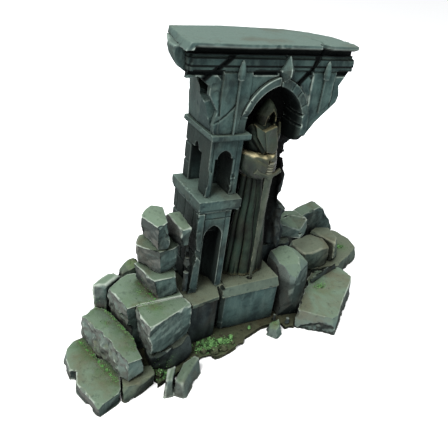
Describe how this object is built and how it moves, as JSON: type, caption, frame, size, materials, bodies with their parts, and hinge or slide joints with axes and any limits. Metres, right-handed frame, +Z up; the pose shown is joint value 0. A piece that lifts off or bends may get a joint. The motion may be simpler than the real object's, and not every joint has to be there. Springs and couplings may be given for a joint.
{
  "type": "miniature terrain ruin",
  "caption": "Painted tabletop terrain piece: a ruined gothic wall with a niche statue of a hooded guardian with a sword, a broken stair and rubble, used as scenery for small figures.",
  "frame": {"origin": "on the table, under the middle of the piece's footprint", "axes": "+X along the wall from the stair to the rubble, +Y from the statue's side to the back, +Z up"},
  "size_m": [0.1416, 0.0686, 0.1016],
  "materials": {
    "stone": "matt paint, slate grey-green with pale drybrushed edges",
    "stone_dark": "matt paint, dark slate in the recesses, lightly drybrushed",
    "stone_warm": "matt paint, warm grey with a brown wash",
    "earth": "rough dark soil texture, matt",
    "moss": "bright green flock, fibrous",
    "robe": "matt paint, dark green-grey with pale folds",
    "robe_trim": "matt paint, brassy brown highlights",
    "skin": "matt paint, stone colour in deep shadow",
    "sword": "satin paint, pale grey"
  },
  "bodies": {
    "root": {"ground_base": "earth", "ground_pebbles": "earth", "moss_clumps": "moss", "step_slab_1": "stone", "step_footing_left": "stone_warm", "step_block_2": "stone", "step_block_3_rear": "stone", "step_block_3_middle": "stone", "step_block_3_front": "stone", "step_footing_front": "stone_dark", "fallen_blocks_front": "stone", "loose_stone_front": "stone", "boulder_mossy_left": "stone_warm", "wall_stub_bottom": "stone", "wall_stub_middle": "stone", "wall_stub_top": "stone", "wall_stub_upright": "stone", "wall_stub_chinking": "stone_dark", "plinth_wall": "stone_dark", "plinth_ledge": "stone_warm", "pedestal_block": "stone", "pedestal_cap": "stone_warm", "rear_base_course": "stone_dark", "tower_lower_stage": "stone", "tower_lower_cornice": "stone", "tower_upper_stage": "stone", "tower_upper_cornice": "stone", "wall_core_upper": "stone_dark", "niche_back_wall": "stone_dark", "spandrel_left": "stone", "spandrel_right": "stone", "arch_moulding_left": "stone", "arch_moulding_right": "stone", "frieze_left": "stone", "frieze_right": "stone", "top_slab": "stone", "keystone": "stone", "pendant_finials": "stone", "pendant_rods": "stone", "wall_end_wedge": "stone_dark", "wall_end_body": "stone_dark", "statue_robe": "robe", "statue_sleeves": "robe_trim", "statue_torso": "robe", "statue_collar": "robe_trim", "statue_hood": "robe", "statue_head": "skin", "statue_hands": "skin", "sword_blade": "sword", "sword_guard": "sword", "paving_slab_front": "stone", "paving_slab_rear": "stone_warm", "boulder_front_right": "stone", "boulder_middle_right": "stone_warm", "boulder_rear_right": "stone_warm", "boulder_back_right": "stone_dark", "fallen_arch_segment": "stone_dark", "fallen_beam": "stone", "rubble_chips_right": "stone_dark"}
  },
  "joints": []
}
